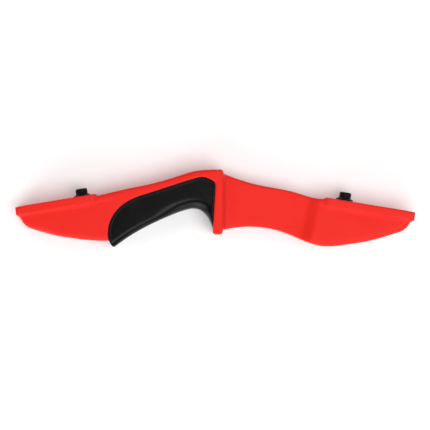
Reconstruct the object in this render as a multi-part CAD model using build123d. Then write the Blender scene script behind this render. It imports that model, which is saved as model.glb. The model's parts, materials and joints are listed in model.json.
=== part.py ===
from build123d import *

import os
from math import cos, radians, sin

# Take-down recurve bow riser: a moulded handle section with a rubber grip and two bolt-on limb pockets.
#
# X runs along the riser towards the upper limb, Y points at the target, and Z is up through the left
# flank, because the riser lies on its right flank. The origin is under the middle of the riser's box.
# Everything is modelled about the riser's mid-plane, z = 0, and lifted onto its flank on export.

# Overall sizes, in mm
HALF_LENGTH = 250.0
BACK_TOP = 48.4
TRAY_HALF_WIDTH = 23.0
BODY_HALF_WIDTH = 20.0
SHELF_HALF_WIDTH = 22.0
WINDOW_HALF_WIDTH = 11.0
CORE_HALF_WIDTH = 11.0
GRIP_HALF_WIDTH = 20.4
CUT_HALF_WIDTH = 40.0

# Limb pockets: a tray on each end, tilted back from the riser's length
POCKET_ANGLE = 9.25
TRAY_HEIGHT = 12.5
TRAY_UNDER_RADIUS = 2.4
TRAY_EDGE_RADIUS = 0.9
TRAY_CORNER_RADIUS = 5.0
POCKET_DEPTH = 6.5
POCKET_HALF_WIDTH = 20.2
POCKET_END_WALL = 3.5
POCKET_CORNER_RADIUS = 4.0
POCKET_OVERRUN = 10.0
# For each pocket: which way its tip points, where the bolt's axis meets the tray's top, how far the tray
# runs from that axis to its closed end, and how high over the tray's top the washer lies
POCKETS = {
    "lower": {"side": -1, "bolt_at": (-166.7, 15.2), "inner": 17.8, "washer_at": -0.6},
    "upper": {"side": 1, "bolt_at": (161.9, 9.6), "inner": 24.8, "washer_at": 0.3},
}

# Edge rounding of the moulding and the grip
BACK_EDGE_RADIUS = 3.5
BELLY_EDGE_RADIUS = 6.0
SHELF_EDGE_RADIUS = 2.0
SHELF_CORNER_RADIUS = 3.0
GRIP_EDGE_RADIUS = 7.5
GRIP_CLEARANCE = 0.05

# Limb bolt M10 x 1.5, its dished washer and its threaded insert
BOLT_RADIUS = 5.0
BOLT_LENGTH = 32.0
BOLT_TIP_CHAMFER = 1.0
HEAD_RADIUS = 7.4
HEAD_HEIGHT = 6.5
HEAD_ROUNDING = 2.2
HEX_KEY = 8.0
HEX_DEPTH = 3.8
SEAT_GAP = 0.05
WASHER_RADIUS = 10.8
WASHER_BORE_RADIUS = 5.3
WASHER_EDGE = 1.5
WASHER_HEIGHT = 3.6
WASHER_SEAT_RADIUS = 7.7
INSERT_RADIUS = 7.0
INSERT_BORE_RADIUS = 5.06
INSERT_LENGTH = 18.0
INSERT_DEPTH = 8.5
INSERT_BORE_OVERRUN = 1.0
HOLE_RADIUS = 5.8
HOLE_DEPTH = 31.5

# Outlines in the riser's mid-plane, as (x, y)
LOWER_BACK = [(-156, 13.6), (-143.5, 16.5), (-112, 24.0), (-78, 31.1), (-50, 39.1), (-26, 46.4), (1, 48.4)]
SHELF_NOTCH = (3, 38)
UPPER_BACK = [
    (7, 45.2), (16, 41.0), (31, 35.6), (61, 27.7), (91, 22.2), (104, 18.6), (119, 14.0), (131, 11.8),
    (145, 11.0),
]
UPPER_TIP = [
    (245.6, -8), (243.4, -18), (236.6, -26.6), (220.6, -32.8), (205, -37.8), (165, -45.5), (131, -47.2),
]
UPPER_BELLY = [(100.5, -36.4), (81, -28.8), (61, -24.5), (41, -23.2), (20.9, -25), (4, -28.6)]
CORE_BELLY = [(3, -20), (-10, -3), (-27, 7.8), (-50, 2.6), (-88, -15), (-120, -32), (-132.6, -40.8)]
LOWER_TIP = [
    (-132.6, -40.8), (-145, -40.8), (-178.4, -37.6), (-205, -32.8), (-222, -27.9), (-237.4, -21.2),
    (-242.6, -14), (-245.2, -4),
]
SHELF = [(1.6, BACK_TOP), (9.9, BACK_TOP), (9.1, -32.9), (-3.2, -32.9)]
GRIP_TOP = [
    (-133.6, -30), (-128.8, -11.6), (-118.6, 1.6), (-103.7, 11.3), (-78.8, 20), (-48.9, 29.8), (-24, 37.6),
]
GRIP_CORNER = [(-14, 38.9), (-4.4, 35.2)]
GRIP_HEEL = [(-128, -48.4), (-133, -38.4), (-133.6, -30)]
GRIP_BELLY = [
    (-7, -15.3), (-13, -6.9), (-20.5, -1.7), (-28.5, -0.6), (-36.5, -2.1), (-46, -5.1), (-58.8, -10.2),
    (-98.7, -29.8), (-125.6, -48.2),
]
GRIP_CORNER_HEIGHT = 26.0
GRIP_FOOT_HEIGHT = -27.0

# Stretches of the riser, from x to x, whose flank edges are rounded, and the heights that part the back
# from the belly
BELLY_SPANS = [(-230, -134), (62, 230)]
BELLY_BELOW = -10
BACK_SPANS = [(-140, 0), (5, 140)]
BACK_ABOVE = 8
GRIP_BELLY_SPAN = (-120, -20)
GRIP_BELLY_BELOW = 0
LEVEL_TOLERANCE = 0.01

# Arrow window: each end leans a little off square, and the floor meets the ends in round fillets
SHELF_LEAN = 0.6
SHELF_WALL_FOOT_X = 12.4
SHELF_WALL_TOP_X = 9.2
SHELF_FILLET = 1.8
RAMP_LEAN = 12.5
RAMP_X = 115.8
RAMP_LENGTH = 12.0
RAMP_FILLET = 8.0
WINDOW_MIDDLE_X = 62.0
WINDOW_JOIN = 40.0
WINDOW_REACH = 150.0


def make_outline(*curves):
    """The face inside a closed run of curves."""
    edges = [edge for curve in curves for edge in curve.edges()]
    return make_face(Wire(edges))


def thicken(face, z_from, z_to):
    """A mid-plane face made into a slab between two heights."""
    slab = extrude(face, amount=z_to - z_from, dir=(0, 0, 1))
    return Pos(0, 0, z_from) * slab


def shelf_face_x(y):
    """Where the shelf's lower face stands at height y."""
    (top_x, top_y), (foot_x, foot_y) = SHELF[0], SHELF[3]
    return foot_x + (top_x - foot_x) * (y - foot_y) / (top_y - foot_y)


def pocket_plane(pocket):
    """A limb pocket's own frame: x runs to the tip, z out along the bolt, from the tray's top."""
    tilt = radians(POCKET_ANGLE)
    side = pocket["side"]
    return Plane(
        origin=(*pocket["bolt_at"], 0),
        x_dir=(side * cos(tilt), -sin(tilt), 0),
        z_dir=(side * sin(tilt), cos(tilt), 0),
    )


def tip_reach(pocket):
    """How far the tray runs from the bolt's axis to its open tip, which ends the riser."""
    return (HALF_LENGTH - abs(pocket["bolt_at"][0])) / cos(radians(POCKET_ANGLE))


def riser_outline():
    """The side view of the moulding, with its core inside the grip and without trays or shelf."""
    return make_outline(
        Spline(*LOWER_BACK, tangents=[(1, 0.2), (1, 0.02)]),
        Polyline(LOWER_BACK[-1], SHELF_NOTCH, UPPER_BACK[0]),
        Spline(*UPPER_BACK, tangents=[(1, -0.6), (1, -0.1)]),
        Line(UPPER_BACK[-1], UPPER_TIP[0]),
        Spline(*UPPER_TIP, *UPPER_BELLY),
        Line(UPPER_BELLY[-1], CORE_BELLY[0]),
        Spline(*CORE_BELLY, tangents=[(-0.5, 1), (-0.6, -1)]),
        Spline(*LOWER_TIP, tangents=[(-1, -0.02), (0, 1)]),
        Line(LOWER_TIP[-1], LOWER_BACK[0]),
    )


def grip_outline():
    """The side view of the grip, heel at the lower end and its square face against the shelf."""
    corner_end = (shelf_face_x(GRIP_CORNER_HEIGHT) - GRIP_CLEARANCE, GRIP_CORNER_HEIGHT)
    foot = (shelf_face_x(GRIP_FOOT_HEIGHT) - GRIP_CLEARANCE, GRIP_FOOT_HEIGHT)
    return make_outline(
        Spline(*GRIP_TOP, tangents=[(0, 1), (1, 0.31)]),
        Spline(GRIP_TOP[-1], *GRIP_CORNER, corner_end, tangents=[(1, 0.31), (0, -1)]),
        Line(corner_end, foot),
        Spline(foot, *GRIP_BELLY),
        Line(GRIP_BELLY[-1], GRIP_HEEL[0]),
        Spline(*GRIP_HEEL),
    )


def edges_at(solid, height, span, above=None, below=None):
    """The curved edges at one height over the mid-plane, within a stretch and a side of the riser."""
    x_from, x_to = span
    chosen = []
    for edge in solid.edges():
        box = edge.bounding_box()
        middle = edge @ 0.5
        flat = max(abs(box.min.Z - height), abs(box.max.Z - height)) < LEVEL_TOLERANCE
        inside = x_from < middle.X < x_to
        high = above is None or middle.Y > above
        low = below is None or middle.Y < below
        if edge.geom_type == GeomType.BSPLINE and flat and inside and high and low:
            chosen.append(edge)
    return chosen


def window_end(x_from, x_to, x_top, corner, radius, lean):
    """One end of the window's space, with a round corner where its floor meets its wall."""
    floor = WINDOW_HALF_WIDTH
    top = CUT_HALF_WIDTH
    profile = make_face(Polyline((x_from, floor), (x_to, floor), (x_top, top), (x_from, top), close=True))
    profile = fillet(profile.vertices().group_by(Axis.Y)[0].sort_by(Axis.X)[corner], radius)
    plan = Plane(origin=(0, 0, 0), x_dir=(1, 0, 0), z_dir=(0, -1, 0))
    slant = (sin(radians(lean)), cos(radians(lean)), 0)
    return extrude(plan * profile, amount=WINDOW_REACH, dir=slant, both=True)


def window_cutter():
    """What an arrow window takes from its flank: a flat floor between a steep wall and a ramp."""
    floor = WINDOW_HALF_WIDTH
    top = CUT_HALF_WIDTH
    slope = RAMP_LENGTH / (BODY_HALF_WIDTH - floor)
    ramp_top = RAMP_X + (top - floor) * slope
    wall_lean = (SHELF_WALL_TOP_X - SHELF_WALL_FOOT_X) / (SHELF_HALF_WIDTH - floor)
    wall_top = SHELF_WALL_FOOT_X + (top - floor) * wall_lean
    wall = window_end(WINDOW_MIDDLE_X, SHELF_WALL_FOOT_X, wall_top, 0, SHELF_FILLET, SHELF_LEAN)
    ramp = window_end(WINDOW_MIDDLE_X, RAMP_X, ramp_top, -1, RAMP_FILLET, RAMP_LEAN)
    join = Box(WINDOW_JOIN, 2 * WINDOW_REACH, top - floor)
    return wall + ramp + Pos(WINDOW_MIDDLE_X, 0, (floor + top) / 2) * join


def tray(pocket):
    """The outside of a limb tray, rounded at its closed end and wider than the body under it."""
    reach = tip_reach(pocket)
    length = reach + pocket["inner"]
    block = Box(length, 2 * TRAY_HALF_WIDTH, TRAY_HEIGHT)
    block = Pos((reach - pocket["inner"]) / 2, 0, -TRAY_HEIGHT / 2) * block
    closed_end = block.edges().filter_by(Axis.Z).group_by(Axis.X)[0]
    block = fillet(closed_end, TRAY_CORNER_RADIUS)
    underside = block.faces().sort_by(Axis.Z)[0]
    block = fillet(underside.edges(), TRAY_UNDER_RADIUS)
    top = block.faces().sort_by(Axis.Z)[-1]
    block = fillet(top.edges(), TRAY_EDGE_RADIUS)
    return pocket_plane(pocket) * block


def pocket_space(pocket):
    """The room for the limb's butt, open at the tip."""
    end = tip_reach(pocket) + POCKET_OVERRUN
    start = -pocket["inner"] + POCKET_END_WALL
    room = Box(end - start, 2 * POCKET_HALF_WIDTH, 2 * POCKET_DEPTH)
    room = Pos((end + start) / 2, 0, 0) * room
    closed_end = room.edges().filter_by(Axis.Z).group_by(Axis.X)[0]
    return pocket_plane(pocket) * fillet(closed_end, POCKET_CORNER_RADIUS)


def bore(pocket, radius, depth_from, depth_to):
    """A round space down a pocket's bolt axis."""
    depth = depth_to - depth_from
    return pocket_plane(pocket) * Pos(0, 0, -(depth_from + depth_to) / 2) * Cylinder(radius, depth)


def shelf():
    """The collar that carries the arrow, standing proud of the body all round."""
    collar = thicken(make_face(Polyline(*SHELF, close=True)), -SHELF_HALF_WIDTH, SHELF_HALF_WIDTH)
    collar = fillet(collar.edges().filter_by(Axis.Z), SHELF_CORNER_RADIUS)
    faces = collar.faces().filter_by(Axis.Z)
    return fillet([edge for face in faces for edge in face.edges()], SHELF_EDGE_RADIUS)


def riser_half():
    """The moulding on one side of the mid-plane, before the shelf and the trays."""
    half = thicken(riser_outline(), 0, BODY_HALF_WIDTH)
    for span in BELLY_SPANS:
        half = fillet(edges_at(half, BODY_HALF_WIDTH, span, below=BELLY_BELOW), BELLY_EDGE_RADIUS)
    for span in BACK_SPANS:
        half = fillet(edges_at(half, BODY_HALF_WIDTH, span, above=BACK_ABOVE), BACK_EDGE_RADIUS)
    half -= window_cutter()
    half -= thicken(grip_outline(), CORE_HALF_WIDTH, CUT_HALF_WIDTH)
    return half


def riser_body():
    """The one-piece moulding."""
    half = riser_half()
    body = half + mirror(half, about=Plane.XY)
    body += shelf()
    for pocket in POCKETS.values():
        body += tray(pocket)
        body -= pocket_space(pocket)
        body -= bore(pocket, HOLE_RADIUS, 0, HOLE_DEPTH)
        body -= bore(pocket, INSERT_RADIUS, INSERT_DEPTH, INSERT_DEPTH + INSERT_LENGTH)
    return body


def grip():
    """The rubber grip: a thick U round the core, thin over the flanks, with a rounded belly."""
    half = thicken(grip_outline(), 0, GRIP_HALF_WIDTH)
    belly = edges_at(half, GRIP_HALF_WIDTH, GRIP_BELLY_SPAN, below=GRIP_BELLY_BELOW)
    half = fillet(belly, GRIP_EDGE_RADIUS)
    whole = half + mirror(half, about=Plane.XY)
    return whole - thicken(riser_outline(), -CORE_HALF_WIDTH, CORE_HALF_WIDTH)


def washer(pocket):
    """The dished washer that bears on the limb's butt."""
    profile = make_face(Polyline(
        (WASHER_BORE_RADIUS, 0),
        (WASHER_RADIUS, 0),
        (WASHER_RADIUS, WASHER_EDGE),
        (WASHER_SEAT_RADIUS, WASHER_HEIGHT),
        (WASHER_BORE_RADIUS, WASHER_HEIGHT),
        close=True,
    ))
    ring = revolve(Plane.XZ * profile, axis=Axis.Z)
    return pocket_plane(pocket) * Pos(0, 0, pocket["washer_at"]) * ring


def limb_bolt(pocket):
    """The limb bolt: a low round head with a hex socket, on a shank that stands for its thread."""
    head = Pos(0, 0, HEAD_HEIGHT / 2) * Cylinder(HEAD_RADIUS, HEAD_HEIGHT)
    head = fillet(head.edges().sort_by(Axis.Z)[-1], HEAD_ROUNDING)
    socket = extrude(RegularPolygon(HEX_KEY / 2, 6, major_radius=False), amount=HEX_DEPTH)
    head -= Pos(0, 0, HEAD_HEIGHT - HEX_DEPTH) * socket
    shank = Pos(0, 0, -BOLT_LENGTH / 2) * Cylinder(BOLT_RADIUS, BOLT_LENGTH)
    shank = chamfer(shank.edges().sort_by(Axis.Z)[0], BOLT_TIP_CHAMFER)
    seat = pocket["washer_at"] + WASHER_HEIGHT + SEAT_GAP
    return pocket_plane(pocket) * Pos(0, 0, seat) * (head + shank)


def insert(pocket):
    """The threaded insert moulded into the riser under the pocket's floor."""
    top = INSERT_DEPTH
    bottom = top + INSERT_LENGTH
    bush = bore(pocket, INSERT_RADIUS, top, bottom)
    return bush - bore(pocket, INSERT_BORE_RADIUS, top - INSERT_BORE_OVERRUN, bottom + INSERT_BORE_OVERRUN)


def riser_parts():
    """Every separate piece by its name, about the mid-plane."""
    parts = {"riser_body": riser_body(), "grip": grip()}
    for name, pocket in POCKETS.items():
        parts[f"{name}_limb_bolt"] = limb_bolt(pocket)
        parts[f"{name}_washer"] = washer(pocket)
        parts[f"{name}_insert"] = insert(pocket)
    return parts


os.makedirs("parts", exist_ok=True)
for name, part in riser_parts().items():
    export_step(Pos(0, 0, TRAY_HALF_WIDTH) * part, f"parts/{name}.step")
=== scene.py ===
import json
import math

import bmesh
import bpy
import numpy as np
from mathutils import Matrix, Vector
from mathutils.kdtree import KDTree


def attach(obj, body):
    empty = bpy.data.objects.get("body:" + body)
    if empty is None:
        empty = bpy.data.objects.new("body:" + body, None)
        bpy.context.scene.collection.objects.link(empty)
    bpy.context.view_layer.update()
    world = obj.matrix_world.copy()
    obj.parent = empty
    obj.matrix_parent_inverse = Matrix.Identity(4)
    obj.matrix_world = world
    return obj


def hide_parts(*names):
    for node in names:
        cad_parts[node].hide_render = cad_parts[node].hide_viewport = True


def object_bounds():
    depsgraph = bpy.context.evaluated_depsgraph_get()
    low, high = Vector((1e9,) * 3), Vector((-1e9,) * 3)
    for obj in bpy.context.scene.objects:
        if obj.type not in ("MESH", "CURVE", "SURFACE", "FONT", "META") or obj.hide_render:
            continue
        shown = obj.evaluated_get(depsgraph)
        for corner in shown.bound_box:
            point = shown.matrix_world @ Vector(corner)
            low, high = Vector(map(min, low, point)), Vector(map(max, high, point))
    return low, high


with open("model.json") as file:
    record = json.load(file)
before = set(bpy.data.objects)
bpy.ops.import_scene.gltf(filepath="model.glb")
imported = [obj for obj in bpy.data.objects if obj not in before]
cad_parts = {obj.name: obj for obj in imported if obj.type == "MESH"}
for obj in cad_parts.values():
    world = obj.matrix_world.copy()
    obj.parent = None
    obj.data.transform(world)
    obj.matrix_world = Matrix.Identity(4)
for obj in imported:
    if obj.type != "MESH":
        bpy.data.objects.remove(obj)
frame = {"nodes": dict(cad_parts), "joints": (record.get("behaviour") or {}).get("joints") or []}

CAD_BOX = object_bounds()

# Lengths in the shapes below are in millimetres, and the scene is in metres
MM = 0.001
MIDDLE_Z = 0.5 * (CAD_BOX[0][2] + CAD_BOX[1][2])
ENDS = ("lower", "upper")

# How fine the moulded pieces' meshes are
BODY_VOXEL = 0.75
GRIP_VOXEL = 0.65
MOST_TRIANGLES = 190_000

# How close, in metres, two points or heights are when they count as the same
WELD_DISTANCE = 1e-6
LEVEL_TOLERANCE = 1e-5

# Colours, linear
RED = (0.715, 0.0192, 0.0128, 1)
RED_DEEP = (0.695, 0.0168, 0.0110, 1)
RED_SCUFFED = (0.86, 0.04, 0.03, 1)
RUBBER = (0.0012, 0.0012, 0.0012, 1)
RUBBER_WORN = (0.0065, 0.0065, 0.006, 1)
STEEL = (0.0025, 0.0025, 0.0028, 1)
STEEL_WORN = (0.05, 0.048, 0.045, 1)
BRASS = (0.52, 0.33, 0.11, 1)
BRASS_DULL = (0.3, 0.18, 0.06, 1)
FLOOR = (0.97, 0.97, 0.97, 1)
FLOOR_SHADED = (0.955, 0.955, 0.955, 1)
# How much of the colour a scuff hides, and how many pebbles the rubber's grain has to the metre
SCUFF_SHARE = 0.5
PEBBLE_SCALE = 1250

# A Mix node's sockets for colours, by number
COLOUR_A, COLOUR_B, COLOUR_RESULT = 6, 7, 2


# --- node materials -------------------------------------------------------------------------------------

class Shading:
    """A material's node tree, with short ways to add and join nodes."""

    def __init__(self, name):
        self.material = bpy.data.materials.new(name)
        self.material.use_nodes = True
        self.nodes = self.material.node_tree.nodes
        self.links = self.material.node_tree.links
        self.shader = self.nodes["Principled BSDF"]
        self.place = self.add("ShaderNodeTexCoord").outputs["Object"]

    def add(self, kind, **settings):
        node = self.nodes.new(kind)
        for key, value in settings.items():
            setattr(node, key, value)
        return node

    def noise(self, scale, detail=3.0, roughness=0.55, stretch=(1, 1, 1)):
        mapping = self.add("ShaderNodeMapping")
        mapping.inputs["Scale"].default_value = stretch
        self.links.new(self.place, mapping.inputs["Vector"])
        noise = self.add("ShaderNodeTexNoise")
        noise.inputs["Scale"].default_value = scale
        noise.inputs["Detail"].default_value = detail
        noise.inputs["Roughness"].default_value = roughness
        self.links.new(mapping.outputs["Vector"], noise.inputs["Vector"])
        return noise.outputs["Fac"]

    def ranged(self, value, low, high, to_low=0.0, to_high=1.0):
        node = self.add("ShaderNodeMapRange", interpolation_type="SMOOTHSTEP")
        spans = {"From Min": low, "From Max": high, "To Min": to_low, "To Max": to_high}
        for name, number in spans.items():
            node.inputs[name].default_value = number
        self.links.new(value, node.inputs["Value"])
        return node.outputs["Result"]

    def math(self, operation, a, b):
        node = self.add("ShaderNodeMath", operation=operation)
        for socket, value in zip(node.inputs, (a, b)):
            if isinstance(value, (int, float)):
                socket.default_value = value
            else:
                self.links.new(value, socket)
        return node.outputs["Value"]

    def mix(self, share, a, b):
        node = self.add("ShaderNodeMix", data_type="RGBA")
        self.links.new(share, node.inputs["Factor"])
        for socket, value in ((node.inputs[COLOUR_A], a), (node.inputs[COLOUR_B], b)):
            if isinstance(value, tuple):
                socket.default_value = value
            else:
                self.links.new(value, socket)
        return node.outputs[COLOUR_RESULT]

    def worn_edges(self, low, high):
        pointiness = self.add("ShaderNodeNewGeometry").outputs["Pointiness"]
        return self.ranged(pointiness, low, high)

    def bump(self, height, distance, strength=1.0, after=None):
        node = self.add("ShaderNodeBump")
        node.inputs["Strength"].default_value = strength
        node.inputs["Distance"].default_value = distance
        self.links.new(height, node.inputs["Height"])
        if after is not None:
            self.links.new(after, node.inputs["Normal"])
        return node.outputs["Normal"]

    def finish(self, colour, roughness, normal, **plain):
        self.links.new(colour, self.shader.inputs["Base Color"])
        self.links.new(roughness, self.shader.inputs["Roughness"])
        self.links.new(normal, self.shader.inputs["Normal"])
        for name, value in plain.items():
            self.shader.inputs[name.replace("_", " ")].default_value = value
        return self.material


def moulded_plastic():
    """Satin red moulding: faint flow clouds, scuffed corners, a spark-eroded grain and a parting line."""
    s = Shading("moulded_red_plastic")
    clouds = s.ranged(s.noise(scale=14, detail=4, roughness=0.6, stretch=(0.6, 1, 1)), low=0.35, high=0.7)
    colour = s.mix(clouds, RED, RED_DEEP)
    corners = s.worn_edges(low=0.53, high=0.62)
    patches = s.ranged(s.noise(scale=160, detail=5, roughness=0.7), low=0.48, high=0.68)
    scuffs = s.math("MULTIPLY", corners, patches)
    colour = s.mix(s.math("MULTIPLY", scuffs, SCUFF_SHARE), colour, RED_SCUFFED)
    satin = s.noise(scale=45, detail=5, roughness=0.6)
    roughness = s.ranged(satin, low=0.3, high=0.7, to_low=0.42, to_high=0.52)
    grain = s.bump(s.noise(scale=2600, detail=2, roughness=0.5), distance=0.00003, strength=0.35)
    swell = s.noise(scale=55, detail=2, roughness=0.4)
    ripple = s.bump(swell, distance=0.0004, strength=0.10, after=grain)
    height = s.add("ShaderNodeSeparateXYZ")
    s.links.new(s.place, height.inputs["Vector"])
    off_line = s.math("ABSOLUTE", s.math("SUBTRACT", height.outputs["Z"], MIDDLE_Z), 0)
    line = s.ranged(off_line, low=0.0001, high=0.00035, to_low=1.0, to_high=0.0)
    normal = s.bump(line, distance=0.00012, strength=0.6, after=ripple)
    gloss = {"Specular_IOR_Level": 0.10, "Sheen_Weight": 0.05, "Sheen_Roughness": 0.4}
    return s.finish(colour, roughness, normal, **gloss)


def grip_rubber():
    """Black rubber: a fine matt grain, hand-polished patches and greyish rubbed edges."""
    s = Shading("grip_black_rubber")
    edges = s.worn_edges(low=0.52, high=0.6)
    patches = s.ranged(s.noise(scale=220, detail=4, roughness=0.7), low=0.4, high=0.7)
    rubbed = s.math("MULTIPLY", edges, patches)
    dust = s.noise(scale=30, detail=5, roughness=0.65)
    dusty = s.ranged(dust, low=0.5, high=0.8, to_low=0.0, to_high=0.35)
    colour = s.mix(s.math("MAXIMUM", rubbed, dusty), RUBBER, RUBBER_WORN)
    polish = s.noise(scale=26, detail=3, roughness=0.5)
    roughness = s.ranged(polish, low=0.35, high=0.7, to_low=0.23, to_high=0.29)
    pebbles = s.add("ShaderNodeTexVoronoi", feature="SMOOTH_F1")
    pebbles.inputs["Scale"].default_value = PEBBLE_SCALE
    s.links.new(s.place, pebbles.inputs["Vector"])
    grain = s.bump(pebbles.outputs["Distance"], distance=0.00004, strength=0.3)
    swell = s.noise(scale=90, detail=3, roughness=0.5)
    normal = s.bump(swell, distance=0.0003, strength=0.12, after=grain)
    gloss = {"Specular_IOR_Level": 0.13, "Sheen_Weight": 0.06, "Sheen_Roughness": 0.35}
    return s.finish(colour, roughness, normal, **gloss)


def black_oxide():
    """Black oxide on steel, worn bright along its edges, with fine tool marks."""
    s = Shading("black_oxide_steel")
    edges = s.worn_edges(low=0.56, high=0.7)
    patches = s.ranged(s.noise(scale=700, detail=5, roughness=0.7), low=0.5, high=0.7)
    colour = s.mix(s.math("MULTIPLY", edges, patches), STEEL, STEEL_WORN)
    oiled = s.noise(scale=420, detail=4, roughness=0.6)
    roughness = s.ranged(oiled, low=0.3, high=0.7, to_low=0.32, to_high=0.48)
    normal = s.bump(s.noise(scale=1500, detail=3, roughness=0.6), distance=0.00004, strength=0.4)
    return s.finish(colour, roughness, normal, Metallic=0.05, Specular_IOR_Level=0.12)


def turned_brass():
    """Machined brass, dulled in patches."""
    s = Shading("turned_brass")
    dulled = s.ranged(s.noise(scale=300, detail=4, roughness=0.6), low=0.4, high=0.7)
    colour = s.mix(dulled, BRASS, BRASS_DULL)
    cut = s.noise(scale=500, detail=3, roughness=0.5)
    roughness = s.ranged(cut, low=0.3, high=0.7, to_low=0.25, to_high=0.4)
    turning = s.noise(scale=2000, detail=2, roughness=0.5, stretch=(0.2, 1, 1))
    normal = s.bump(turning, distance=0.00003, strength=0.5)
    return s.finish(colour, roughness, normal, Metallic=1.0)


def paper_floor():
    """A plain, almost white studio floor."""
    s = Shading("pale_floor")
    shade = s.ranged(s.noise(scale=3, detail=2, roughness=0.5), low=0.3, high=0.7)
    colour = s.mix(shade, FLOOR, FLOOR_SHADED)
    tooth = s.noise(scale=40, detail=2, roughness=0.5)
    roughness = s.ranged(tooth, low=0.3, high=0.7, to_low=0.75, to_high=0.85)
    normal = s.bump(s.noise(scale=900, detail=2, roughness=0.5), distance=0.00005, strength=0.1)
    return s.finish(colour, roughness, normal, Specular_IOR_Level=0.1)


# --- mesh helpers ---------------------------------------------------------------------------------------

def new_object(name, mesh):
    """A piece of its own in the scene."""
    piece = bpy.data.objects.new(name, mesh)
    bpy.context.scene.collection.objects.link(piece)
    return piece


def baked(piece, name):
    """The piece's mesh with its modifiers worked in."""
    bpy.context.view_layer.update()
    evaluated = piece.evaluated_get(bpy.context.evaluated_depsgraph_get())
    mesh = bpy.data.meshes.new_from_object(evaluated)
    bpy.data.objects.remove(piece)
    return new_object(name, mesh)


def welded(node):
    """A CAD node's mesh with the doubled points along its face borders joined."""
    shell = bmesh.new()
    shell.from_mesh(frame["nodes"][node].data)
    bmesh.ops.remove_doubles(shell, verts=shell.verts, dist=WELD_DISTANCE)
    return shell


def dense_copy(node, name, voxel):
    """A CAD node's shape as an even, closed net of small squares."""
    mesh = bpy.data.meshes.new(name)
    shell = welded(node)
    shell.to_mesh(mesh)
    shell.free()
    piece = new_object(name + "_source", mesh)
    net = piece.modifiers.new("net", "REMESH")
    net.mode = "VOXEL"
    net.voxel_size = voxel * MM
    return baked(piece, name)


def thin_out(piece, triangles):
    """Fewer faces where the surface is plain."""
    have = sum(len(face.vertices) - 2 for face in piece.data.polygons)
    if have <= triangles:
        return piece
    name = piece.name
    thinner = piece.modifiers.new("thinner", "DECIMATE")
    thinner.ratio = triangles / have
    piece = baked(piece, name + "_thin")
    piece.name = name
    return piece


def points_of(piece):
    """A mesh's points in millimetres."""
    flat = np.empty(3 * len(piece.data.vertices))
    piece.data.vertices.foreach_get("co", flat)
    return flat.reshape(-1, 3) / MM


def normals_of(piece):
    """A mesh's point normals."""
    flat = np.empty(3 * len(piece.data.vertices))
    piece.data.vertex_normals.foreach_get("vector", flat)
    return flat.reshape(-1, 3)


def set_points(piece, points):
    """Moves a mesh's points to places in millimetres."""
    piece.data.vertices.foreach_set("co", (points * MM).reshape(-1))
    piece.data.update()


def smoothstep(low, high, value):
    """0 below low, 1 above high, and an S-curve between."""
    share = np.clip((value - low) / (high - low), 0, 1)
    return share * share * (3 - 2 * share)


def relax(piece, rounds, weights=1.0):
    """Rounds edges off: each point moves halfway to the middle of its neighbours, round after round."""
    points = points_of(piece)
    ends = np.empty(2 * len(piece.data.edges), dtype=np.int32)
    piece.data.edges.foreach_get("vertices", ends)
    a, b = ends.reshape(-1, 2).T
    count = len(points)
    neighbours = np.bincount(a, minlength=count) + np.bincount(b, minlength=count)
    share = 0.5 * np.broadcast_to(weights, count)[:, None]
    for _ in range(rounds):
        total = np.empty_like(points)
        for k in range(3):
            total[:, k] = np.bincount(a, points[b, k], count) + np.bincount(b, points[a, k], count)
        points += share * (total / neighbours[:, None] - points)
    set_points(piece, points)


def distances_to(points, curve):
    """How far each point is, seen from the flank, from the nearest of a curve's points."""
    tree = KDTree(len(curve))
    for index, (x, y) in enumerate(curve):
        tree.insert((x, y, 0), index)
    tree.balance()
    return np.array([tree.find((x, y, 0))[2] for x, y in points[:, :2]])


def closed_mesh(name, rings, poles):
    """A round solid from rings of points, closed by a point at each end."""
    count = len(rings[0])
    points = [tuple(p) for ring in rings for p in ring] + [tuple(p) for p in poles]
    faces = []
    for i in range(len(rings) - 1):
        for j in range(count):
            k = (j + 1) % count
            faces.append((i * count + j, i * count + k, (i + 1) * count + k, (i + 1) * count + j))
    first, last = len(points) - 2, len(points) - 1
    end = (len(rings) - 1) * count
    for j in range(count):
        k = (j + 1) % count
        faces.append((first, k, j))
        faces.append((last, end + j, end + k))
    return mesh_of(name, points, faces)


def hoop_mesh(name, rings):
    """A ring-shaped solid: the last ring of points joins the first again."""
    count = len(rings[0])
    points = [tuple(p) for ring in rings for p in ring]
    faces = []
    for i in range(len(rings)):
        m = (i + 1) % len(rings)
        for j in range(count):
            k = (j + 1) % count
            faces.append((i * count + j, i * count + k, m * count + k, m * count + j))
    return mesh_of(name, points, faces)


def mesh_of(name, points, faces):
    """A mesh from points in millimetres, with its faces turned outwards."""
    mesh = bpy.data.meshes.new(name)
    mesh.from_pydata([[c * MM for c in p] for p in points], [], faces)
    shell = bmesh.new()
    shell.from_mesh(mesh)
    bmesh.ops.recalc_face_normals(shell, faces=shell.faces)
    shell.to_mesh(mesh)
    shell.free()
    return mesh


def dress(piece, node, body, material, crease=None):
    """Finishes a piece: shading, material, the CAD node it stands for and the body it rides on."""
    piece.data.materials.clear()
    piece.data.materials.append(material)
    piece.data.shade_smooth()
    if crease is not None:
        piece.data.set_sharp_from_angle(angle=math.radians(crease))
    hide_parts(node)
    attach(piece, body)


# --- where things are -----------------------------------------------------------------------------------

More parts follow.
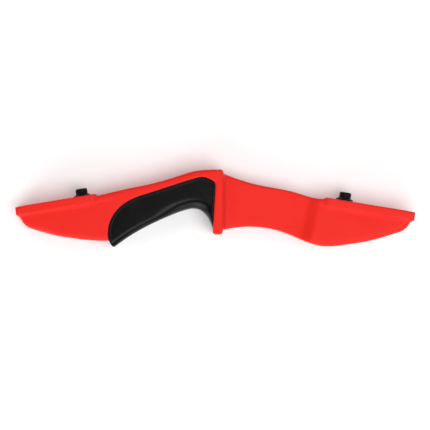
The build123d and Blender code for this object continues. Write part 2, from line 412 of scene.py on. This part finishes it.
class Pocket:
    """A limb pocket's own frame, in millimetres: its tray's top, the way out along the bolt, the tip."""

    def __init__(self, end):
        hinge = next(j for j in frame["joints"] if j["name"] == f"{end}_bolt_turn")
        self.side = 1 if hinge["pos_m"][0] > 0 else -1
        self.origin = np.array(hinge["pos_m"]) / MM
        self.out = np.array(Vector(hinge["axis"]).normalized())
        self.tip = self.side * np.cross(self.out, (0, 0, 1))
        self.across = np.cross(self.out, self.tip)

    def local(self, points):
        """Points as (towards the tip, out along the bolt, across)."""
        away = points - self.origin
        return away @ self.tip, away @ self.out, away @ self.across

    def world(self, points):
        """Points given as (towards the tip, across, out along the bolt) in the scene."""
        return self.origin + points @ np.array([self.tip, self.across, self.out])

    def out_span(self, node):
        """How far in and out along the bolt a CAD node reaches."""
        _, out, _ = self.local(points_of(frame["nodes"][node]))
        return out.min(), out.max()


POCKETS = {end: Pocket(end) for end in ENDS}
# An upright wall's normal rises less than this, and the points along a border are this far apart
UPRIGHT_NORMAL = 0.2
BORDER_STEP = 0.5


def flank_border(node):
    """Where a node's upper flank ends at an upright wall: points along those corners."""
    shell = welded(node)
    top = max(v.co.z for v in shell.verts)
    line = []
    for edge in shell.edges:
        a, b = (v.co for v in edge.verts)
        level = abs(a.z - top) < LEVEL_TOLERANCE and abs(b.z - top) < LEVEL_TOLERANCE
        upright = any(abs(face.normal.z) < UPRIGHT_NORMAL for face in edge.link_faces)
        if level and upright:
            steps = max(1, int((a - b).length / (BORDER_STEP * MM)))
            line += [tuple(a.lerp(b, k / steps)[:2]) for k in range(steps + 1)]
    shell.free()
    return [(x / MM, y / MM) for x, y in line]


# --- the moulding ---------------------------------------------------------------------------------------

# Half widths of the handle's flank and of the shelf's collar
FLANK = 20.0
COLLAR = 22.0

# The trays, in a pocket's own frame: how far in the rims and the pocket's floor reach, where a tray's
# underside fades out, and where it begins along the riser
TRAY_DEPTH = 12.5
POCKET_DEPTH = 6.5
TRAY_UNDERSIDE = (-14.5, -12.8)
TRAY_START = (-30, -26)
# How far along the riser the trays' ends begin, and how much softer their corners are
TIP_ENDS = (237, 244)
TIP_SOFTNESS = 0.85

# The groove under a rim: its depth, how fast it runs out, how far it reaches up the rim, where it begins
# along the tray, and the half widths between which the flank begins
GROOVE_DEPTH = 1.0
GROOVE_REACH = 6
GROOVE_OVERLAP = 2
GROOVE_START = (-45, -10)
FLANK_START = (15, 18)

# The strap's swelling: where it grows, the heights where it begins, and where the collar ends it
SWELL_SPAN = (-40, 0)
SWELL_HEIGHTS = (31, 35)
SWELL_END = (5.0, 6.5)

# Ejector marks: their places along and across a pocket, the radii of their edges and their depth
EJECTORS_ALONG = (22, 46, 70)
EJECTORS_ACROSS = (-12, 12)
EJECTOR_EDGE = (2.6, 3.4)
EJECTOR_DEPTH = 0.3
POCKET_FLOOR_TOLERANCE = 0.6

# Rounds of softening before, at and after the shaping
FIRST_ROUNDS = 3
CORNER_ROUNDS = 22
LAST_ROUNDS = 4
# Where the softening is held back, and how much: in the trays, by the grip and at the collar
GRIP_SEAM = (1.2, 4)
COLLAR_RISE = (-7, -3)
COLLAR_FALL = (11, 15)
TRAY_HOLD = 0.93
SEAM_HOLD = 0.9
COLLAR_HOLD = 0.75
LAST_HOLD = 0.7


def tray_share(points):
    """1 on and in the limb trays, 0 on the rest of the moulding."""
    share = np.zeros(len(points))
    for pocket in POCKETS.values():
        along, out, _ = pocket.local(points)
        share = np.maximum(share, smoothstep(*TRAY_UNDERSIDE, out) * smoothstep(*TRAY_START, along))
    return share


def shape_flanks(points):
    """Draws the flanks in a little under the trays' rims."""
    height = np.abs(points[:, 2] - MIDDLE_Z / MM)
    sink = np.zeros(len(points))
    for pocket in POCKETS.values():
        along, out, _ = pocket.local(points)
        below = np.maximum(-TRAY_DEPTH - out, 0)
        near = smoothstep(*GROOVE_START, along)
        under_rim = out < GROOVE_OVERLAP - TRAY_DEPTH
        sink += GROOVE_DEPTH * np.exp(-below / GROOVE_REACH) * near * under_rim
    on_flank = smoothstep(*FLANK_START, height)
    moved = points.copy()
    moved[:, 2] -= np.sign(points[:, 2] - MIDDLE_Z / MM) * sink * on_flank
    return moved


def blend_strap(points):
    """Lets the strap over the grip swell until it meets the collar's full width without a step."""
    x, y = points[:, 0], points[:, 1]
    wide = FLANK + (COLLAR - FLANK) * smoothstep(*SWELL_SPAN, x)
    here = smoothstep(*SWELL_HEIGHTS, y) * (1 - smoothstep(*SWELL_END, x))
    offset = points[:, 2] - MIDDLE_Z / MM
    swollen = np.sign(offset) * np.minimum(wide, np.abs(offset) * wide / FLANK)
    swollen = np.where(np.abs(offset) > wide, offset, swollen)
    moved = points.copy()
    moved[:, 2] += here * (swollen - offset)
    return moved


def ejector_marks(points):
    """Round marks that the mould's ejector pins leave in the pockets' floors."""
    moved = points.copy()
    for pocket in POCKETS.values():
        along, out, across = pocket.local(points)
        on_floor = np.abs(out + POCKET_DEPTH) < POCKET_FLOOR_TOLERANCE
        for centre in EJECTORS_ALONG:
            for side in EJECTORS_ACROSS:
                radius = np.hypot(along - centre, across - side)
                dent = EJECTOR_DEPTH * (1 - smoothstep(*EJECTOR_EDGE, radius)) * on_floor
                moved -= dent[:, None] * pocket.out
    return moved


def make_moulding(material):
    """The riser's moulding, with the soft corners of a moulded part."""
    piece = dense_copy("riser_body", "riser_moulding", BODY_VOXEL)
    relax(piece, FIRST_ROUNDS)
    points = blend_strap(points_of(piece))
    set_points(piece, points)
    x = points[:, 0]
    tray = tray_share(points) * (1 - TIP_SOFTNESS * smoothstep(*TIP_ENDS, np.abs(x)))
    by_grip = 1 - smoothstep(*GRIP_SEAM, distances_to(points, flank_border("grip")))
    by_collar = smoothstep(*COLLAR_RISE, x) * (1 - smoothstep(*COLLAR_FALL, x))
    soft = (1 - TRAY_HOLD * tray) * (1 - SEAM_HOLD * by_grip) * (1 - COLLAR_HOLD * by_collar)
    relax(piece, CORNER_ROUNDS, soft)
    set_points(piece, ejector_marks(shape_flanks(points_of(piece))))
    relax(piece, LAST_ROUNDS, 1 - LAST_HOLD * np.maximum(tray, by_grip))
    piece = thin_out(piece, MOST_TRIANGLES)
    dress(piece, "riser_body", "riser", material)


# --- the grip -------------------------------------------------------------------------------------------

# The grip's half width and the rounding between its flanks and its belly
GRIP_FLANK = 20.4
BELLY_RADIUS = 7.5
# The belly's wall is found at mid width: how near the middle, and how its normals may lie
MID_BAND = 0.7
WALL_NORMAL_Z = 0.3
WALL_NORMAL_Y = -0.12
# The bevel at the throat: its reach from the belly, the half width it leaves there, where it grows and
# ends along the riser, and where it fades in from the grip's border
THROAT_REACH = 13.5
THROAT_WALL = 6.5
THROAT_GROWS = (-78, -42)
THROAT_ENDS = (-12, -3)
THROAT_FADE = (0.0, 5.0)
# The flank's shallow hollow inside the border, and the drawn-in edge at the border itself
HOLLOW_DEPTH = 0.14
HOLLOW_START = (1.6, 3.6)
EDGE_DEPTH = 0.3
EDGE_WIDTH = (0.0, 0.9)
# Rounds of softening, and where the border's edge is kept crisp
NET_ROUNDS = 3
GRIP_ROUNDS = 6
BORDER_HOLD = (3.0, 5.0)


def quarter_round(distance, radius):
    """The height, as a share, of a rounding's surface at a distance from its foot."""
    return np.sqrt(1 - np.clip(1 - distance / radius, 0, 1) ** 2)


def shape_grip(piece, to_border):
    """Sinks the flanks inside a raised border, and bevels them towards the throat for thumb and finger."""
    points = points_of(piece)
    normals = normals_of(piece)
    offset = points[:, 2] - MIDDLE_Z / MM
    upright = (np.abs(normals[:, 2]) < WALL_NORMAL_Z) & (normals[:, 1] < WALL_NORMAL_Y)
    belly = points[(np.abs(offset) < MID_BAND) & upright][:, :2]
    to_belly = distances_to(points, belly)
    x = points[:, 0]
    throat = smoothstep(*THROAT_GROWS, x) * (1 - smoothstep(*THROAT_ENDS, x))
    oval = THROAT_WALL + (GRIP_FLANK - THROAT_WALL) * quarter_round(to_belly, THROAT_REACH)
    plain = GRIP_FLANK - BELLY_RADIUS + BELLY_RADIUS * quarter_round(to_belly, BELLY_RADIUS)
    bevel = throat * (plain - oval) * smoothstep(*THROAT_FADE, to_border)
    hollow = HOLLOW_DEPTH * smoothstep(*HOLLOW_START, to_border)
    edge = EDGE_DEPTH * (1 - smoothstep(*EDGE_WIDTH, to_border))
    narrowing = 1 - (bevel / plain) - (hollow + edge) / GRIP_FLANK
    points[:, 2] = MIDDLE_Z / MM + offset * narrowing
    set_points(piece, points)


def make_grip(material):
    """The rubber grip."""
    piece = dense_copy("grip", "grip_rubber", GRIP_VOXEL)
    relax(piece, NET_ROUNDS)
    to_border = distances_to(points_of(piece), flank_border("grip"))
    shape_grip(piece, to_border)
    relax(piece, GRIP_ROUNDS, smoothstep(*BORDER_HOLD, to_border))
    relax(piece, 1)
    piece = thin_out(piece, MOST_TRIANGLES)
    dress(piece, "grip", "riser", material)


# --- bolts and washers ----------------------------------------------------------------------------------

SEGMENTS = 96

# The head and its rounded top edge
HEAD_RADIUS = 7.4
HEAD_HEIGHT = 6.5
HEAD_ROUNDING = 2.2
ROUNDING_STEPS = 9
# The flutes round the head: (depth below its top, share of the flutes' depth)
FLUTES = 32
FLUTE_DEPTH = 0.22
FLUTE_PROFILE = [(2.4, 0.0), (2.6, 0.6), (2.8, 1.0), (4.2, 1.0), (5.7, 1.0), (5.9, 0.6), (6.1, 0.0)]

# The hex socket: a drill point, then (share of the hexagon, height over the floor), then the mouth's
# (least radius, depth below the head's top)
HEX_APOTHEM = 4.0
HEX_DEPTH = 3.8
DRILL_RADIUS = 1.2
DRILL_DEPTH = 0.35
DRILL_POINT = 0.55
SOCKET_WALL = [(0.93, 0.0), (1.0, 0.15), (1.0, 1.6)]
SOCKET_MOUTH = [(0.0, 0.55), (4.65, 0.12), (4.85, 0.0)]

# The M10 thread: its groove's shape, how it runs in under the neck, and the bolt's chamfered point
THREAD_RADIUS = 4.97
THREAD_DEPTH = 0.9
THREAD_PITCH = 1.5
THREAD_STEP = 0.15
THREAD_FULLNESS = 1.25
THREAD_SLOPE = 2.9
RUN_IN = 1.2
NECK_RADIUS = THREAD_RADIUS - 0.05
NECK_LENGTH = 3.0
POINT_LENGTH = 1.4
POINT_SLOPE = 0.75
POINT_FLAT = 0.6
POINT_RADIUS = 3.7
# Under the head: (radius, height over its seat)
UNDER_HEAD = [
    (HEAD_RADIUS - 0.1, 0.12),
    (HEAD_RADIUS - 0.45, 0),
    (THREAD_RADIUS + 0.4, 0),
    (NECK_RADIUS, -0.3),
]

# A dished washer's section: (radius, height over its underside)
WASHER_PROFILE = [
    (5.32, 0.35), (5.6, 0.02), (7.5, 0.3), (9.2, 0.3), (10.3, 0.02), (10.66, 0.08), (10.78, 0.35),
    (10.78, 1.1), (10.66, 1.35), (10.35, 1.48), (9.8, 1.6), (9.2, 1.85), (8.6, 2.3), (8.15, 2.85),
    (7.92, 3.28), (7.75, 3.5), (7.45, 3.6), (6.6, 3.6), (5.6, 3.6), (5.38, 3.5), (5.32, 3.2),
]

# Edges sharper than this, in degrees, stay sharp
BOLT_CREASE = 40
WASHER_CREASE = 35


def turn_steps():
    """The angles of the points on a ring."""
    return np.arange(SEGMENTS) * 2 * math.pi / SEGMENTS


def ring(radii, height, angles):
    """A ring of points about the bolt's axis."""
    radii = np.broadcast_to(radii, angles.shape)
    return np.stack([radii * np.cos(angles), radii * np.sin(angles), np.full(len(angles), height)], axis=1)


def head_profile(top, angles):
    """A bolt head's radii and heights, from the socket's drill point up, over and down to the seat."""
    sixth = math.pi / 3
    hexagon = HEX_APOTHEM / np.cos((angles + sixth / 2) % sixth - sixth / 2)
    floor = top - HEX_DEPTH
    profile = [(DRILL_RADIUS, floor - DRILL_DEPTH)]
    profile += [(hexagon * share, floor + height) for share, height in SOCKET_WALL]
    profile += [(np.maximum(hexagon, least), top - depth) for least, depth in SOCKET_MOUTH]
    shoulder = HEAD_RADIUS - HEAD_ROUNDING
    for step in range(ROUNDING_STEPS + 1):
        turn = step / ROUNDING_STEPS * math.pi / 2
        radius = shoulder + HEAD_ROUNDING * math.sin(turn)
        profile.append((radius, top - HEAD_ROUNDING * (1 - math.cos(turn))))
    flute = 0.5 - 0.5 * np.cos(FLUTES * angles)
    profile += [(HEAD_RADIUS - cut * FLUTE_DEPTH * flute, top - depth) for depth, cut in FLUTE_PROFILE]
    return profile + [(radius, top - HEAD_HEIGHT + height) for radius, height in UNDER_HEAD]


def thread_profile(seat, bottom, angles):
    """A bolt shank's radii and heights, from the neck down the thread to the chamfered point."""
    start = seat - NECK_LENGTH
    profile = [(NECK_RADIUS, start)]
    steps = int((start - bottom - POINT_FLAT) / THREAD_STEP)
    for step in range(1, steps + 1):
        height = start - step * THREAD_STEP
        phase = (height / THREAD_PITCH + angles / (2 * math.pi)) % 1
        groove = np.clip(THREAD_FULLNESS - THREAD_SLOPE * np.abs(phase - 0.5), 0, 1)
        depth = THREAD_DEPTH * min(1, step * THREAD_STEP / RUN_IN)
        taper = max(0, POINT_LENGTH - (height - bottom)) * POINT_SLOPE
        profile.append((np.minimum(THREAD_RADIUS - depth * groove, THREAD_RADIUS - taper), height))
    return profile + [(POINT_RADIUS, bottom)]


def make_bolt(end, material):
    """A limb bolt: a fluted round head with a hex socket, a plain neck and a rolled M10 thread."""
    pocket = POCKETS[end]
    node = f"{end}_limb_bolt"
    bottom, top = pocket.out_span(node)
    angles = turn_steps()
    profile = head_profile(top, angles) + thread_profile(top - HEAD_HEIGHT, bottom, angles)
    rings = [pocket.world(ring(radii, height, angles)) for radii, height in profile]
    poles = np.array([(0, 0, top - HEX_DEPTH - DRILL_POINT), (0, 0, bottom)])
    mesh = closed_mesh(f"{end}_bolt_steel", rings, pocket.world(poles))
    piece = new_object(f"{end}_bolt_steel", mesh)
    dress(piece, node, f"{end}_bolt", material, BOLT_CREASE)


def make_washer(end, material):
    """A dished washer: a flat seat for the head that flares to a thin round rim."""
    pocket = POCKETS[end]
    node = f"{end}_washer"
    bottom = pocket.out_span(node)[0]
    angles = turn_steps()
    rings = [pocket.world(ring(radius, bottom + height, angles)) for radius, height in WASHER_PROFILE]
    mesh = hoop_mesh(f"{end}_washer_steel", rings)
    piece = new_object(f"{end}_washer_steel", mesh)
    dress(piece, node, f"{end}_washer", material, WASHER_CREASE)


def finish_inserts(material):
    """Brass for the inserts hidden in the moulding."""
    for end in ENDS:
        mesh = frame["nodes"][f"{end}_insert"].data
        mesh.materials.clear()
        mesh.materials.append(material)


# --- studio ---------------------------------------------------------------------------------------------

FLOOR_HALF = 3.0
WORLD_STRENGTH = 0.32
# Each light: name, compass angle from +X and angle off the vertical in degrees, distance and size in
# metres, power in watts
LIGHTS = [
    ("key_softbox", -36, 22, 2.2, 1.5, 27),
    ("far_softbox", 110, 40, 2.4, 1.3, 10.5),
    ("throat_softbox", -118, 65, 2.2, 1.7, 20),
    ("front_panel", -90, 80, 2.4, 2.4, 36),
    ("left_panel", 180, 62, 2.2, 1.4, 4),
    ("right_panel", 20, 60, 2.2, 1.4, 7),
]

# The camera: its height over the riser's upper flank, how wide it sees there, and where it stands
CAMERA_HEIGHT = 3.2
CAMERA_VIEW = 0.5355
CAMERA_AT = (-0.0003, -0.0085)
SUBJECT_TOP = 0.045
SENSOR = 36


def make_stage():
    """A floor under the riser, soft lights round it and a pale sky."""
    corners = [(-FLOOR_HALF, -FLOOR_HALF, 0), (FLOOR_HALF, -FLOOR_HALF, 0)]
    corners += [(FLOOR_HALF, FLOOR_HALF, 0), (-FLOOR_HALF, FLOOR_HALF, 0)]
    mesh = bpy.data.meshes.new("floor")
    mesh.from_pydata(corners, [], [(0, 1, 2, 3)])
    mesh.materials.append(paper_floor())
    new_object("floor", mesh)

    world = bpy.data.worlds.new("studio")
    world.use_nodes = True
    background = world.node_tree.nodes["Background"]
    background.inputs["Color"].default_value = (1, 1, 1, 1)
    background.inputs["Strength"].default_value = WORLD_STRENGTH
    bpy.context.scene.world = world

    for name, compass, off_vertical, distance, size, power in LIGHTS:
        light = bpy.data.lights.new(name, "AREA")
        light.shape = "DISK"
        light.size = size
        light.energy = power
        lamp = bpy.data.objects.new(name, light)
        flat = distance * math.sin(math.radians(off_vertical))
        turn = math.radians(compass)
        high = distance * math.cos(math.radians(off_vertical))
        place = Vector((flat * math.cos(turn), flat * math.sin(turn), high))
        lamp.location = place
        lamp.rotation_euler = (-place).to_track_quat("-Z", "Y").to_euler()
        bpy.context.scene.collection.objects.link(lamp)


def make_camera():
    """Straight down on the riser's left flank."""
    camera = bpy.data.cameras.new("camera")
    camera.sensor_width = SENSOR
    camera.lens = SENSOR * CAMERA_HEIGHT / CAMERA_VIEW
    holder = bpy.data.objects.new("camera", camera)
    holder.location = (*CAMERA_AT, SUBJECT_TOP + CAMERA_HEIGHT)
    bpy.context.scene.collection.objects.link(holder)
    bpy.context.scene.camera = holder
    bpy.context.scene.view_settings.view_transform = "Standard"


make_camera()
make_stage()
make_moulding(moulded_plastic())
make_grip(grip_rubber())
oxide = black_oxide()
for end in ENDS:
    make_bolt(end, oxide)
    make_washer(end, oxide)
finish_inserts(turned_brass())
